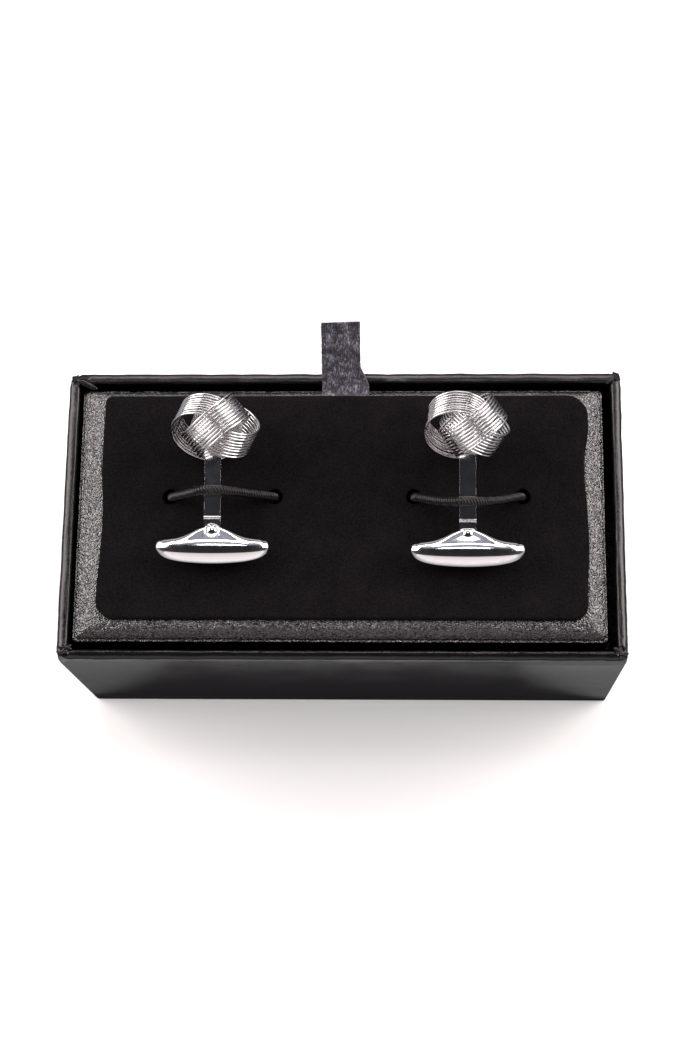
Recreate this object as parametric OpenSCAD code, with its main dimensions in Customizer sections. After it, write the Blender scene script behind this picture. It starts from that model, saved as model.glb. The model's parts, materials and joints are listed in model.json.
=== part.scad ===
// A pair of wire knot cufflinks lying in the open tray of a plain black gift box.
// The front of the box faces -Y and its underside stands on Z = 0.
// Each cufflink lies with its knot to the back and its toggle to the front. Its own frame has
// the origin on the toggle's rivet, +Y along the post to the knot and +Z along the rivet.

/* [Box] */
// Outside width of the box
box_w = 84; // [80:0.5:90]
// Outside depth of the box, front to back
box_d = 44; // [42:0.5:50]
// Height of the rim
box_h = 36; // [30:0.5:45]
// Thickness of the covered board walls
wall = 1.4; // [1.2:0.1:1.8]
// Thickness of the covered board floor
floor_t = 1.6; // [1.2:0.1:2.4]
// Edge radius of the rim
rim_r = 0.55; // [0.3:0.05:0.6]
// Flat that breaks each upright corner
corner_cut = 0.35; // [0.2:0.05:0.6]

/* [Insert] */
// Width of the groove between the tray and the insert
groove = 1.3; // [0.8:0.1:1.6]
// How far the border slopes in at the left and right
border_x = 2.8; // [1.5:0.1:3]
// How far the border slopes in at the front and back
border_y = 1.6; // [1:0.1:2]
// How far the border rises above the crease at its foot
border_h = 2.3; // [2:0.1:4]
// Board thickness of the insert
board = 1.6; // [1.2:0.1:2]
// How far the insert sits off centre, to the right
insert_shift = -0.3; // [-0.6:0.1:0.6]
// How far the insert's top lies above the rim
insert_rise = 1; // [0:0.1:2]

/* [Velvet pad] */
// Width of the pad
pad_w = 72.8; // [70:0.2:73.4]
// Depth of the pad
pad_d = 35; // [33:0.2:35.4]
// Thickness of the pad
pad_t = 1; // [0.8:0.1:1.5]
// How far the pad is off centre, to the right and to the back
pad_shift = [0.2, 0.35];

/* [Elastic] */
// Diameter of the braided elastic
elastic_d = 1.1; // [0.8:0.1:1.2]
// Diameter of the holes that it passes through
hole_d = 2.4; // [2.3:0.1:2.6]
// Depth position of the holes
hole_y = 1.55; // [0:0.05:3]

/* [Ribbon tab] */
// Thickness of the ribbon
ribbon_t = 0.45; // [0.3:0.05:0.6]
// Width of the ribbon where it leaves the pad
ribbon_root_w = 7.2; // [6:0.1:8]
// Width of the ribbon at its cut end
ribbon_tip_w = 5.9; // [5:0.1:7]

/* [Knot] */
// Diameter of the wire
wire_d = 0.5; // [0.44:0.02:0.52]
// Number of wires side by side in a band
wires = 9; // [8:1:9]
// Radius of a band, measured to the middle of the wire
band_r = 4.75; // [4.7:0.05:4.85]
// Distance of a band's centre from the knot's axis
band_out = 1.5; // [1.45:0.05:1.55]
// Tilt of a band against the knot's axis
band_tilt = 40; // [39:0.5:41]
// Spacing of the wires in a band
wire_pitch = 0.4875; // [0.46:0.005:0.49]

/* [Post and toggle] */
// Width of the flat post
post_w = 2.4; // [2:0.1:2.6]
// Thickness of the flat post between its shoulder and the knot
post_t = 1.1; // [0.8:0.1:1.3]
// Thickness of the post's tongue, which turns in the toggle's slot
tongue_t = 1.3; // [1.1:0.1:1.4]
// Length of the toggle
toggle_l = 17; // [16:0.5:18]
// Thickness of the toggle's hump at its foot, where it leaves the barrel
hump_foot_t = 3.24; // [3:0.02:3.4]
// Thickness of the hump at its top, beside the post
hump_top_t = 2.2; // [2.1:0.05:2.6]
// Length of the rivet between its two heads
rivet_l = 2.4; // [2.3:0.05:2.6]
// Diameter of the rivet's pin
pin_d = 1.2; // [1:0.05:1.3]
// Diameter of the rivet's domed head
head_d = 1.56; // [1.4:0.02:1.8]

/* [Hidden] */
$fn = 48;
wire_fn = 24;
band_fn = 96;
// How far a cut runs on past the face that it opens
over = 1;

// Heights of the stack in the box
insert_top = box_h + insert_rise;
pad_top = insert_top + pad_t;
crease_z = insert_top - border_h;

// Half sizes of the insert at its crease, and the flats that its rounded border is made of
insert_x = box_w / 2 - wall - groove;
insert_y = box_d / 2 - wall - groove;
border_steps = 5;

// One row for each cufflink: place of the rivet's middle, slope of the post against the pad,
// distance from rivet to knot centre, sideways shift and turn of the knot, distance of the
// elastic from the rivet, and the x places of the two holes.
RIVET = 0;
SLOPE = 1;
KNOT_Y = 2;
KNOT_X = 3;
KNOT_TURN = 4;
HOLES = 5;
LEFT = [[-18.9, -4.4, 41.3], 10.8, 15.5, 0.35, 8, [-25.7, -10.1]];
RIGHT = [[18.6, -4.85, 41.3], 12.2, 16.1, 0.15, 22, [10.7, 26.9]];

// Radius of the toggle's barrel along its length, one row [AT, RADIUS] for each place, and how
// far the barrel's axis lies in front of the rivet
AT = 0;
RADIUS = 1;
barrel_v = 2.72;
BARREL = [[0, 2.2], [2.2, 2.16], [4.2, 2], [5.8, 1.7], [7.1, 1.27], [8, 0.77], [8.4, 0.35]];
// Outline of the hump from its top down one side, one row [AT, BELOW] for each corner, where
// BELOW is how far the corner lies in front of the rivet
BELOW = 1;
HUMP = [[1.05, -0.85], [2.1, -0.35], [3.6, 0.5], [5.3, 1], [6.9, 1.45], [6.9, 2.7]];
// The hump slopes from its foot to its top, and narrows to both ends: one row [AT, HALF] for each
// place along it, where HALF is half of its thickness there
hump_foot = 1.35;
HALF = 1;
HUMP_PLAN = [[0, 1.7], [3.5, 1.6], [5.5, 1.3], [7.3, 0.8]];

// Slot, tongue and bore of the toggle's joint
side_gap = 0.1;
slot_t = tongue_t + 2 * side_gap;
slot_bottom = 1.45;
run_gap = 0.05;
head_h = 0.3;

// Shoulder of the post, a low collar just clear of the slot's sides
shoulder_y = 1.9;
shoulder_l = 0.6;
shoulder_t = slot_t - 2 * run_gap;
shoulder_lip = 0.05;

// Plug at the inner end of the post, soldered in the knot's middle hole
plug_r = 1.72;
plug_below = 3.2;
plug_above = 0.4;

// Routes of the elastics as points [x, y, z], from the middle of the run under the board
ROUTE_LEFT = [[-18, 1.55, 34.6], [-22, 1.55, 34.6], [-25, 1.55, 34.7], [-25.7, 1.55, 35.6],
    [-25.7, 1.55, 37.1], [-25.2, 1.5, 38.4], [-23, 1.45, 41], [-20.8, 1.3, 43.3], [-18.9, 1.25, 43.9],
    [-17, 1.3, 43.3], [-14, 1.45, 41], [-10.7, 1.5, 38.4], [-10.1, 1.55, 37.1], [-10.1, 1.55, 35.6],
    [-10.8, 1.55, 34.7], [-14, 1.55, 34.6]];
ROUTE_RIGHT = [[19, 1.55, 34.6], [14, 1.55, 34.6], [11.4, 1.55, 34.7], [10.7, 1.55, 35.6],
    [10.75, 1.55, 37.1], [11.2, 1.4, 38.4], [14, 0.4, 41.1], [16.6, -0.35, 43.1], [18.6, -0.45, 43.7],
    [20.6, -0.35, 43.1], [23.4, 0.4, 41.1], [26.3, 1.4, 38.4], [26.85, 1.55, 37.1], [26.9, 1.55, 35.6],
    [26.2, 1.55, 34.7], [23.5, 1.55, 34.6]];
elastic_steps = 3;
elastic_sides = 8;

// Route of the ribbon's middle layer as points [y, z]
RIBBON = [[14.2, 37.24], [17.9, 37.24], [19, 37.5], [20.4, 38.3], [22.4, 39.9], [24.8, 41.9],
    [27, 43.7]];
ribbon_x = 0.3;
// Where the ribbon's right edge starts and stops drawing in, as distances from the middle
taper_from = 20.4;
taper_to = 22.4;
pocket_gap = 0.05;

function unit(v) = v / norm(v);

// Point on a Catmull-Rom curve through four points
function curve(a, b, c, d, t) =
    0.5 * (2 * b + (c - a) * t + (2 * a - 5 * b + 4 * c - d) * t * t + (3 * b - a - 3 * c + d) * t * t * t);

// A closed route with steps points for each of its own
function smooth_loop(p, steps) = let (n = len(p))
    [for (i = [0 : n - 1], k = [0 : steps - 1])
        curve(p[(i + n - 1) % n], p[i], p[(i + 1) % n], p[(i + 2) % n], k / steps)];

// A tube along a closed route that lies near a plane of constant y
module tube_loop(route, d, sides) {
    n = len(route);
    rings = [for (i = [0 : n - 1])
        let (
            along = unit(route[(i + 1) % n] - route[(i + n - 1) % n]),
            outward = unit(cross([0, 1, 0], along)),
            across = cross(along, outward))
        [for (k = [0 : sides - 1])
            route[i] + d / 2 * (cos(360 * k / sides) * outward + sin(360 * k / sides) * across)]];
    points = [for (ring = rings, p = ring) p];
    faces = [for (i = [0 : n - 1], k = [0 : sides - 1])
        let (a = i * sides, b = ((i + 1) % n) * sides, m = (k + 1) % sides)
        [a + k, b + k, b + m, a + m]];
    polyhedron(points, faces, convexity = 6);
}

// Cross-section of a board wall with a rounded rim, its inner face on x = 0
module wall_section() {
    square([wall, box_h - rim_r]);
    translate([rim_r, 0])
        square([wall - 2 * rim_r, box_h]);
    for (x = [rim_r, wall - rim_r])
        translate([x, box_h - rim_r])
            circle(rim_r);
}

// A wall whose outer face is on x = out, with both ends cut to a mitre
module mitred_wall(out, along) {
    inside = out - wall - over;
    intersection() {
        translate([out - wall, along, 0])
            rotate([90, 0, 0])
                linear_extrude(2 * along)
                    wall_section();
        linear_extrude(2 * box_h)
            polygon([
                [out + over, along + over], [out + over, -along - over],
                [inside, -along + wall + over], [inside, along - wall - over]]);
    }
}

module tray() {
    x = box_w / 2;
    y = box_d / 2;
    corner_side = corner_cut * sqrt(2);
    color([0.07, 0.07, 0.075])
    difference() {
        union() {
            translate([-x + wall / 2, -y + wall / 2, 0])
                cube([box_w - wall, box_d - wall, floor_t]);
            for (turn = [0, 180])
                rotate([0, 0, turn]) {
                    mitred_wall(x, y);
                    rotate([0, 0, 90])
                        mitred_wall(y, x);
                }
        }
        for (side_x = [-1, 1], side_y = [-1, 1])
            translate([side_x * x, side_y * y, box_h / 2])
                rotate([0, 0, 45])
                    cube([corner_side, corner_side, 2 * box_h], center = true);
    }
}

// Upright outline of the insert: straight sides, then a border that rounds over to the top
module insert_outline(half, slope_in) {
    round_over = [for (k = [1 : border_steps - 1]) let (a = 90 * k / border_steps)
        [half - slope_in * (1 - cos(a)), crease_z + border_h * sin(a)]];
    polygon([
        [-half, floor_t], [half, floor_t], [half, crease_z],
        for (p = round_over) p,
        [half - slope_in, insert_top], [-half + slope_in, insert_top],
        for (k = [len(round_over) - 1 : -1 : 0]) [-round_over[k][0], round_over[k][1]],
        [-half, crease_z]]);
}

module insert_tray() {
    color([0.09, 0.09, 0.095])
    difference() {
        translate([insert_shift, 0, 0])
        intersection() {
            rotate([90, 0, 0])
                linear_extrude(box_d, center = true)
                    insert_outline(insert_x, border_x);
            rotate([90, 0, 90])
                linear_extrude(box_w, center = true)
                    insert_outline(insert_y, border_y);
        }
        translate([insert_shift - insert_x + board, -insert_y + board, floor_t - over])
            cube([2 * (insert_x - board), 2 * (insert_y - board), insert_top - board - floor_t + over]);
        elastic_holes(insert_top - board - over, insert_top + over);
    }
}

// The four holes for the elastics, between two heights
module elastic_holes(low, high) {
    for (link = [LEFT, RIGHT], x = link[HOLES])
        translate([x, hole_y, low])
            cylinder(d = hole_d, h = high - low);
}

module velvet_pad() {
    // Size of the cut at each corner, from back left round to front left
    cuts = [[0.8, 1], [2, 2.1], [1.3, 2.4], [2.3, 2]];
    x = pad_w / 2;
    y = pad_d / 2;
    color([0.03, 0.03, 0.035])
    difference() {
        translate([pad_shift[0], pad_shift[1], insert_top])
            linear_extrude(pad_t)
                polygon([
                    [-x + cuts[0][0], y], [x - cuts[1][0], y], [x, y - cuts[1][1]],
                    [x, -y + cuts[2][1]], [x - cuts[2][0], -y], [-x + cuts[3][0], -y],
                    [-x, -y + cuts[3][1]], [-x, y - cuts[0][1]]]);
        elastic_holes(insert_top - over, pad_top + over);
        translate([ribbon_x - ribbon_root_w / 2 - pocket_gap, RIBBON[0][0] - pocket_gap, insert_top - over])
            cube([ribbon_root_w + 2 * pocket_gap, y, over + ribbon_t + 2 * pocket_gap]);
    }
}

module elastic(route) {
    color([0.1, 0.1, 0.1])
        tube_loop(smooth_loop(route, elastic_steps), elastic_d, elastic_sides);
}

// Side view of the ribbon: its route with thickness added on both sides
module ribbon_side() {
    n = len(RIBBON);
    normals = [for (i = [0 : n - 1])
        let (d = unit(RIBBON[min(i + 1, n - 1)] - RIBBON[max(i - 1, 0)]))
        [-d[1], d[0]]];
    upper = [for (i = [0 : n - 1]) RIBBON[i] + ribbon_t / 2 * normals[i]];
    lower = [for (i = [n - 1 : -1 : 0]) RIBBON[i] - ribbon_t / 2 * normals[i]];
    polygon(concat(upper, lower));
}

module ribbon_tab() {
    left = ribbon_x - ribbon_root_w / 2;
    root_right = left + ribbon_root_w;
    tip_right = left + ribbon_tip_w;
    // The left edge stays straight and the right edge draws in above the rim
    color([0.16, 0.16, 0.18])
    intersection() {
        translate([left - over, 0, 0])
            rotate([90, 0, 90])
                linear_extrude(ribbon_root_w + 2 * over)
                    ribbon_side();
        linear_extrude(2 * box_h)
            polygon([
                [left, 0], [root_right, 0], [root_right, taper_from], [tip_right, taper_to],
                [tip_right, box_d], [left, box_d]]);
    }
}

// Moves a child from a cufflink's own frame to its place on the pad
module place(link) {
    translate(link[RIVET])
        rotate([link[SLOPE], 0, 0])
            children();
}

// Cross-section of a band: wires side by side that melt into one strip
module band_section() {
    for (k = [0 : wires - 1])
        translate([band_r, (k - (wires - 1) / 2) * wire_pitch])
            circle(d = wire_d, $fn = wire_fn);
}

// One of the three linked bands of a knot
module band(link, index) {
    color([0.8, 0.8, 0.82])
    place(link)
        translate([link[KNOT_X], link[KNOT_Y], 0])
            rotate([-90, 0, 0])
                rotate([0, 0, link[KNOT_TURN] - 90 + 120 * index])
                    translate([band_out, 0, 0])
                        rotate([band_tilt, 0, 0])
                            rotate_extrude($fn = band_fn)
                                band_section();
}

module post(link) {
    plug_y = link[KNOT_Y] - plug_below;
    color([0.7, 0.7, 0.73])
    place(link)
        difference() {
            union() {
                cylinder(d = post_w, h = tongue_t, center = true);
                translate([-post_w / 2, 0, -tongue_t / 2])
                    cube([post_w, shoulder_y, tongue_t]);
                translate([-post_w / 2 - shoulder_lip, shoulder_y, -shoulder_t / 2])
                    cube([post_w + 2 * shoulder_lip, shoulder_l, shoulder_t]);
                translate([-post_w / 2, shoulder_y, -post_t / 2])
                    cube([post_w, plug_y + over - shoulder_y, post_t]);
                translate([link[KNOT_X], plug_y, 0])
                    rotate([-90, 0, 0])
                        cylinder(r = plug_r, h = plug_below + plug_above);
            }
            cylinder(d = pin_d + 2 * run_gap, h = tongue_t + over, center = true);
        }
}

// The toggle's barrel, a round body that narrows to both tips
module barrel() {
    half = toggle_l / 2;
    translate([0, -barrel_v, 0])
        rotate([0, 90, 0])
            rotate_extrude()
                polygon([
                    [0, -half],
                    for (k = [len(BARREL) - 1 : -1 : 1]) [BARREL[k][RADIUS], -BARREL[k][AT]],
                    for (row = BARREL) [row[RADIUS], row[AT]],
                    [0, half]]);
}

// The hump on the barrel, which thins towards its top and its two ends
module hump() {
    top = -HUMP[0][BELOW];
    fall = (hump_foot_t - hump_top_t) / 2 / (top + hump_foot);
    foot_half = hump_foot_t / 2;
    top_half = hump_top_t / 2 - fall * over;
    intersection() {
        linear_extrude(2 * hump_foot_t, center = true)
            polygon([
                for (row = HUMP) [row[AT], -row[BELOW]],
                for (k = [len(HUMP) - 1 : -1 : 0]) [-HUMP[k][AT], -HUMP[k][BELOW]]]);
        rotate([90, 0, 90])
            linear_extrude(2 * toggle_l, center = true)
                polygon([
                    [-barrel_v - over, foot_half], [-hump_foot, foot_half], [top + over, top_half],
                    [top + over, -top_half], [-hump_foot, -foot_half], [-barrel_v - over, -foot_half]]);
        rotate([90, 0, 0])
            linear_extrude(2 * toggle_l, center = true)
                polygon([
                    for (row = HUMP_PLAN) [row[AT], row[HALF]],
                    for (k = [len(HUMP_PLAN) - 1 : -1 : 0]) [HUMP_PLAN[k][AT], -HUMP_PLAN[k][HALF]],
                    for (k = [1 : len(HUMP_PLAN) - 1]) [-HUMP_PLAN[k][AT], -HUMP_PLAN[k][HALF]],
                    for (k = [len(HUMP_PLAN) - 1 : -1 : 1]) [-HUMP_PLAN[k][AT], HUMP_PLAN[k][HALF]]]);
    }
}

module toggle(link) {
    color([0.82, 0.82, 0.84])
    place(link)
        difference() {
            union() {
                barrel();
                hump();
            }
            translate([-toggle_l, -slot_bottom, -slot_t / 2])
                cube([2 * toggle_l, toggle_l, slot_t]);
            cylinder(d = pin_d, h = 2 * hump_foot_t, center = true);
            // Seats for the rivet's heads
            for (side = [0, 1])
                mirror([0, 0, side])
                    translate([0, 0, rivet_l / 2])
                        cylinder(d = head_d + 2 * run_gap, h = hump_foot_t);
        }
}

// Domed head of the rivet, its flat side on z = 0
module rivet_head() {
    ball_r = (head_d * head_d / 4 + head_h * head_h) / (2 * head_h);
    intersection() {
        translate([0, 0, head_h - ball_r])
            sphere(ball_r);
        translate([-head_d, -head_d, 0])
            cube([2 * head_d, 2 * head_d, head_h + over]);
    }
}

module rivet(link) {
    color([0.85, 0.85, 0.87])
    place(link) {
        cylinder(d = pin_d, h = rivet_l, center = true);
        for (side = [0, 1])
            mirror([0, 0, side])
                translate([0, 0, rivet_l / 2])
                    rivet_head();
    }
}

tray();
insert_tray();  // insert
velvet_pad();
elastic(ROUTE_LEFT);  // elastic_left
elastic(ROUTE_RIGHT);  // elastic_right
ribbon_tab();
band(LEFT, 0);  // left_band_1
band(LEFT, 1);  // left_band_2
band(LEFT, 2);  // left_band_3
post(LEFT);  // left_post
toggle(LEFT);  // left_toggle
rivet(LEFT);  // left_rivet
band(RIGHT, 0);  // right_band_1
band(RIGHT, 1);  // right_band_2
band(RIGHT, 2);  // right_band_3
post(RIGHT);  // right_post
toggle(RIGHT);  // right_toggle
rivet(RIGHT);  // right_rivet
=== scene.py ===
import json
import math
import random

import bmesh
import bpy
from mathutils import Matrix, Vector, noise


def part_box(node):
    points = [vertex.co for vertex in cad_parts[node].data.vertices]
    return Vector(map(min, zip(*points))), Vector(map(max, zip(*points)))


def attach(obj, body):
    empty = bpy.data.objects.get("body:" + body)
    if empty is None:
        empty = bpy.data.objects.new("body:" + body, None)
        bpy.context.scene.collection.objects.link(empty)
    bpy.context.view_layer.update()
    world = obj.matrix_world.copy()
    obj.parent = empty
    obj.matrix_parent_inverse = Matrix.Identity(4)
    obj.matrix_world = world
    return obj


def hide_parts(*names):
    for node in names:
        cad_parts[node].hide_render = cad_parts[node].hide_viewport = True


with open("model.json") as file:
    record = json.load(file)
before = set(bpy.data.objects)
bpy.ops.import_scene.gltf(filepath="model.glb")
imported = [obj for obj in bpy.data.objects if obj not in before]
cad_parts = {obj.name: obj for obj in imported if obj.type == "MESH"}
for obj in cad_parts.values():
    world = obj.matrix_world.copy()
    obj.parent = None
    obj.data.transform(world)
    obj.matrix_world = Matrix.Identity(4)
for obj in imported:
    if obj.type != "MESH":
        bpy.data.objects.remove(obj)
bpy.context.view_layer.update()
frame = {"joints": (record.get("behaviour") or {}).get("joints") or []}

MM = 0.001
SIDES = {"left": -1, "right": 1}


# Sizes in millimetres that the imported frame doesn't hold

WALL = 1.4
FLOOR = 1.6
FOOT_RADIUS = 0.3
TRAY_CORNER = 0.45
RIM_RADIUS = 1
RIM_INNER_RADIUS = 0.38
# Heights at which the walls are cut across, so that they can lean and round over
TRAY_LEVELS = (4, 10, 16, 22, 27, 30, 32, 33.5, 34.6)
# How far the covered walls lean out at the rim: left, right, front, back
RIM_OUT = (0.35, 0.15, 0.45, 0.33)
# Radius of each upright corner at the rim, where the doubled cover is thick: side x, side y, radius
RIM_CORNERS = [(-1, 1, 2.2), (-1, -1, 1.8), (1, -1, 1), (1, 1, 0.9)]
# Height from which the corners round over to that radius, and the height that it takes
CORNER_FROM = 32.5
CORNER_OVER = 2.5
# Folds in the cover at the rim's corners: start, end, half width, height
RIM_FOLDS = [
    ((-41.9, 21.7, 36), (-38.4, 20.4, 35.9), 0.34, 0.42),
    ((-41.7, 20.7, 36), (-39.2, 20.3, 35.9), 0.26, -0.3),
    ((-41, 22, 35.6), (-39.6, 21.2, 36), 0.3, -0.25),
    ((-42, -20.2, 36), (-40.4, -20.9, 36), 0.3, 0.3),
    ((-40.4, -20.8, 36), (-41.2, -22, 35.8), 0.26, -0.42),
    ((-41.9, -21.2, 35.8), (-40.6, -20.9, 36), 0.25, -0.3),
    ((-40.2, -21.2, 36), (-40.2, -22, 35.7), 0.3, 0.25),
    ((40.3, -20.6, 36), (41.9, -21.2, 35.9), 0.22, -0.35),
    ((40.3, -20.8, 36), (41.4, -22, 35.7), 0.22, -0.35),
    ((40.1, -20.9, 36), (40.5, -22, 35.7), 0.22, 0.25),
    ((40.5, -20.3, 36), (42, -20.3, 35.9), 0.24, 0.25),
    ((40.4, 20.6, 36), (41.8, 21.6, 35.8), 0.26, -0.2),
    ((40.2, 20.7, 36), (40.8, 22, 35.8), 0.25, 0.16)]
# Pleats of the cover that is tucked in at the rim's corners: outer end, inner end, half width, height
PLEATS = [
    ((-41.6, 21.5), (-37.9, 19.7), 0.5, 0.4),
    ((-41.7, -20.6), (-39.9, -21), 0.32, 0.26),
    ((-41.5, -21.5), (-40, -20.3), 0.3, 0.24),
    ((41.6, -21.6), (40, -20.5), 0.3, 0.22),
    ((41.5, 21.5), (39.9, 20.4), 0.3, 0.22)]
PLEAT_SUNK = 0.12

# How far the insert's border slopes in: left, right, front, back
BORDER = (3.4, 2.7, 2.7, 1.5)
# How far its padding stands out past the insert's card, at the same sides
BORDER_SWELL = (0.4, 0.2, 0.35, 0.15)
CREASE_Z = 35.25
# Its outline from the crease up: shares of the slope along x and y, and of the height. The first row
# is a small ledge
BORDER_OUTLINE = [
    (0.06, 0.09, 0.03), (0.08, 0.115, 0.16), (0.12, 0.16, 0.27), (0.2, 0.23, 0.4), (0.34, 0.33, 0.56),
    (0.51, 0.46, 0.71), (0.68, 0.62, 0.85), (0.85, 0.8, 0.95), (1, 1, 1)]
MITRE_RADIUS = 0.5
BORDER_FOLDS = [
    ((-39.2, -19.3, 34), (-33.2, -17.6, 37), 0.28, -0.4),
    ((-38.6, -19.3, 34.6), (-34, -18, 36.9), 0.3, 0.3),
    ((-39, -18.6, 34.6), (-35.4, -17.4, 37), 0.35, 0.22),
    ((39.2, -19.3, 34), (35.2, -17.5, 37), 0.26, -0.38),
    ((38.4, -19.3, 34.3), (34.6, -18, 36.8), 0.3, 0.2),
    ((-39.1, 19.2, 34), (-37.2, 18.2, 36.8), 0.3, -0.2),
    ((39.1, 19.2, 34), (37.1, 18.1, 36.8), 0.3, -0.2)]

# Steps of the cuts that let the skin wrinkle: fine ones up to a distance from each corner
CUT_FROM = 0.3
CUT_FINE = 0.34
CUT_COARSE = 1.6
CORNER_REACH = 7
# Height over which the wrinkles set in
WRINKLE_OVER = 1.5

# How far the velvet's card is set back, and how far its back edge falls short
CARD_BACK = 0.38
PAD_SHORT = 0.3
# Its cut corners: side x, side y, length of the cut
PAD_CORNERS = [(-1, 1, 0.9), (1, 1, 2.5), (1, -1, 1.9), (-1, -1, 2.25)]
PAD_EDGE_RADIUS = 0.42
# Width of the strip where the velvet turns over the edge
PAD_TURN = 0.5
# Top of the notch that takes the ribbon under its back edge, and the room round the ribbon in it
NOTCH_TOP = 37.55
NOTCH_ROOM = 0.05
# How far the velvet's left and right edges wander outwards, at places along y
PAD_EDGES = {
    "left": [(-17, 0.1), (-13, 0.22), (-6, -0.15), (0, -0.25), (6, 0.15), (12, 0.1), (18, 0)],
    "right": [(-17, -0.25), (-13, -0.35), (-6, 0.05), (0, -0.1), (7, -0.5), (12.5, 0.3), (18, 0)]}
# Where they begin to wander, from the middle, and the distance that it takes
EDGE_FROM = 30
EDGE_OVER = 5
# Cuts across the velvet that let them do so: the first, the step and the number
PAD_CUTS = (-15.5, 1.9, 18)
# The elastics' holes, set back with the card
HOLE_RADIUS = 1.2
HOLES = [(-25.7, 1.9), (-10.1, 1.9), (10.7, 1.9), (26.9, 1.9)]
# Heights between which the holes are cut
HOLE_CUT = (30, 40)
# Distance from a hole at which the velvet is cut along its depth
HOLE_STRIP = 2
# Loose fibres at each hole, with their length and radius
HOLE_FIBRES = 150
HOLE_FIBRE = (0.36, 0.02)

# A band's radius, how far its middle lies off the knot's axis, and its tilt in degrees
BAND_RADIUS = 4.75
BAND_OUT = 1.5
BAND_TILT = 40
WIRES = 9
WIRE_PITCH = 0.505
WIRE_RADIUS = 0.163
# Distance of the knot's centre from the rivet, its sideways shift and its turn in degrees
KNOTS = {"left": (15.5, 0.35, 8), "right": (16.1, 0.15, 22)}
# A few wires of a band that have sprung out of line: side, band, wire, extra radius, tilt in degrees
STRAY_WIRES = [
    ("left", 1, 8, 0.16, 1.6), ("left", 3, 0, 0.1, -1.4),
    ("right", 2, 8, 0.12, 1.8), ("right", 3, 0, 0.14, -2)]

POST_WIDTH = 2.4
POST_THICK = 1.1
POST_EDGE_RADIUS = 0.2
TONGUE_THICK = 1.3
# Where the post's shoulder starts and ends, and how far it stands out at the post's sides
SHOULDER = (1.6, 2.45)
SHOULDER_THICK = 1.4
SHOULDER_PAST = 0.05
PLUG_RADIUS = 1.72
# Where the plug starts below the knot's centre and ends above it
PLUG_BELOW = 3.2
PLUG_ABOVE = 0.4
# How far the post reaches into the plug, and the tongue into the shoulder
POST_IN_PLUG = 0.6
TONGUE_IN_SHOULDER = 0.2
PIN_RADIUS = 0.6
PIN_ROOM = 0.05
RIVET_LENGTH = 2.4
# Outline of its domed heads: distance from its axis, and height past the pin
RIVET_DOME = [
    (0, 0.42), (0.2, 0.41), (0.42, 0.35), (0.62, 0.24), (0.74, 0.1), (0.78, 0), (PIN_RADIUS, -0.04)]
# Turned-up ring round the left rivet's heads: radius, half thickness, height past the pin, tilt in
# degrees
RING = (1.02, 0.11, 0.13, 11)
SLOT_WIDTH = 1.5
SLOT_BOTTOM = 1.45
TOGGLE_LENGTH_HALF = 8.5
# The toggle's outline seen along its rivet, and its half thickness, at distances from its middle
TOGGLE_BACK = [
    (0, 0.97), (0.75, 0.92), (1.4, 0.68), (2.3, 0.3), (3.3, -0.2), (4.2, -0.55), (5.1, -0.8),
    (6.4, -0.99), (7.2, -1.1), (7.8, -1.26), (8.2, -1.52), (8.42, -1.88), (8.5, -2.35)]
TOGGLE_FRONT = [
    (0, -4.88), (2, -4.83), (4.2, -4.65), (5.5, -4.43), (6.4, -4.2), (7.2, -3.88), (7.9, -3.42),
    (8.3, -2.96), (8.5, -2.35)]
TOGGLE_HALF = [
    (0, 2.03), (2.2, 2), (4.2, 1.85), (5.8, 1.59), (7.1, 1.22), (8, 0.8), (8.35, 0.46), (8.5, 0)]
# Line where the barrel meets the hump's face
TOGGLE_RIDGE = [(0, -1.25), (3.2, -1.45), (5, -1.75), (6.9, -1.95), (8.1, -2.2), (8.5, -2.35)]
# Cross-section from the front over the crest, the ridge and the hump's face to the back, as shares
# of each stretch and of the half thickness
FRONT_STRETCH = [
    (0, 0), (0.004, 0.187), (0.024, 0.325), (0.079, 0.424), (0.229, 0.586), (0.407, 0.759),
    (0.561, 0.887), (0.632, 0.929), (0.743, 0.966), (0.862, 0.99), (1, 1)]
CREST_STRETCH = [(0.41, 0.966), (0.727, 0.897), (1, 0.813)]
FACE_STRETCH = [
    (0.203, 0.754), (0.473, 0.69), (0.72, 0.61), (0.887, 0.5), (0.968, 0.345), (0.995, 0.17), (1, 0)]
# Where the hump begins to give way to a round back, and the length that it takes
HUMP_FROM = 1.2
HUMP_OVER = 6

ELASTIC_RADIUS = 0.55
# Closed routes of the elastics' middles
ELASTICS = {
    "left": [
        (-18, 1.9, 34.6), (-22, 1.9, 34.6), (-25, 1.9, 34.7), (-25.7, 1.9, 35.6), (-25.7, 1.9, 37.1),
        (-25.2, 1.8, 38.4), (-23, 1.45, 41), (-20.8, 1.3, 43.3), (-18.9, 1.25, 43.9), (-17, 1.3, 43.3),
        (-14, 1.5, 41), (-10.7, 1.8, 38.4), (-10.1, 1.9, 37.1), (-10.1, 1.9, 35.6), (-10.8, 1.9, 34.7),
        (-14, 1.9, 34.6)],
    "right": [
        (19, 1.9, 34.6), (14, 1.9, 34.6), (11.4, 1.9, 34.7), (10.7, 1.9, 35.6), (10.75, 1.9, 37.1),
        (11.2, 1.7, 38.4), (14, 0.4, 41.1), (16.6, -0.35, 43.1), (18.6, -0.45, 43.7), (20.6, -0.35, 43.1),
        (23.4, 0.4, 41.1), (26.3, 1.7, 38.4), (26.85, 1.9, 37.1), (26.9, 1.9, 35.6), (26.2, 1.9, 34.7),
        (23.5, 1.9, 34.6)]}
STRANDS = 4
# Distance between two turns of yarn, its radius, and how deep it lies in the elastic's outline
YARN_PITCH = 0.43
YARN_RADIUS = 0.2
YARN_SUNK = 0.04
# Points on each turn, and the core's radius as a multiple of the yarn's
TURN_POINTS = 22
CORE_SHARE = 2.4

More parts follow.
